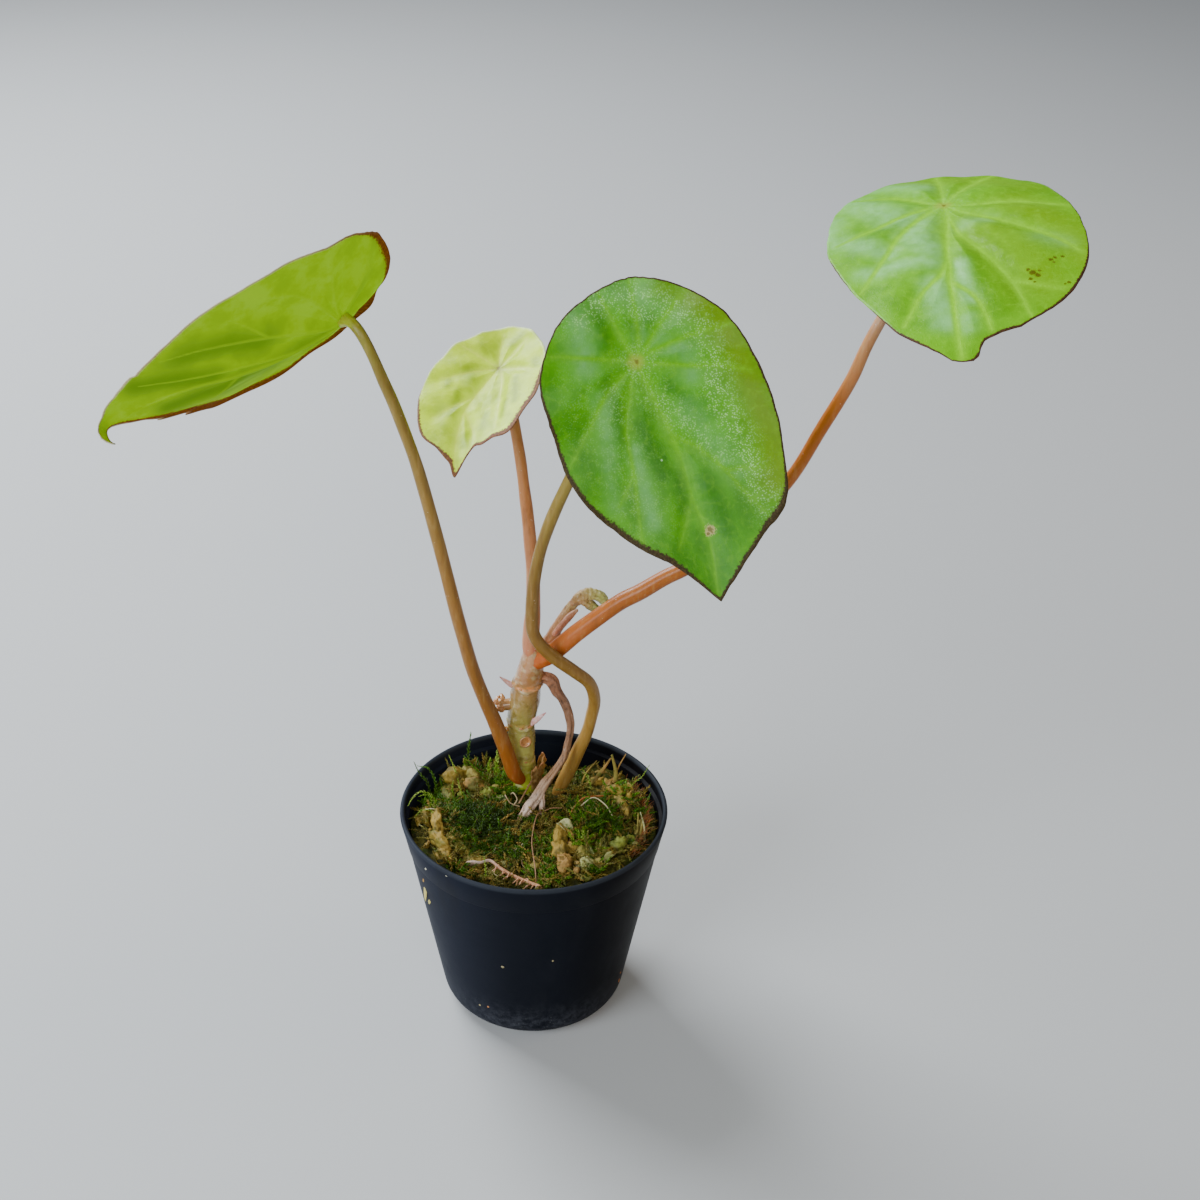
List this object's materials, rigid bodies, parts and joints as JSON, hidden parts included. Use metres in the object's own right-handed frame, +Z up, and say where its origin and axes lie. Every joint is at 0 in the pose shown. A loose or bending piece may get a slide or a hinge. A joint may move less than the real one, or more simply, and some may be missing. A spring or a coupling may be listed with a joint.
{
  "type": "potted begonia",
  "caption": "Young begonia with round shield-shaped leaves on long fleshy stalks, rooted in sphagnum and moss in a small tapered nursery pot.",
  "frame": {"origin": "middle of the pot's foot, on the surface that it stands on", "axes": "+Z up, -Y towards the side that the big leaf faces, +X towards the large flat leaf"},
  "size_m": [0.2673, 0.122, 0.2927],
  "materials": {
    "pot_plastic": "satin",
    "sphagnum": "matte",
    "stem": "satin",
    "scale": "satin",
    "dry_sheath": "matte",
    "stalk_tan": "satin",
    "stalk_orange": "satin",
    "stalk_olive": "satin",
    "leaf_yellow_green": "satin",
    "leaf_pale": "satin",
    "leaf_green": "satin",
    "leaf_light_green": "satin",
    "shoot": "matte",
    "shoot_leaf": "satin",
    "root": "matte"
  },
  "bodies": {
    "root": {"pot": "pot_plastic", "sphagnum_medium": "sphagnum", "stem": "stem", "stipule_left": "scale", "stipule_right": "scale", "dry_bract": "dry_sheath", "petiole_left": "stalk_tan", "petiole_small": "stalk_orange", "petiole_centre": "stalk_olive", "petiole_right": "stalk_orange", "leaf_left": "leaf_yellow_green", "leaf_small": "leaf_pale", "leaf_centre": "leaf_green", "leaf_right": "leaf_light_green", "shoot_stalk": "shoot", "shoot_stipule": "shoot", "shoot_leaf": "shoot_leaf", "dry_root": "root", "surface_root": "root"}
  },
  "joints": []
}
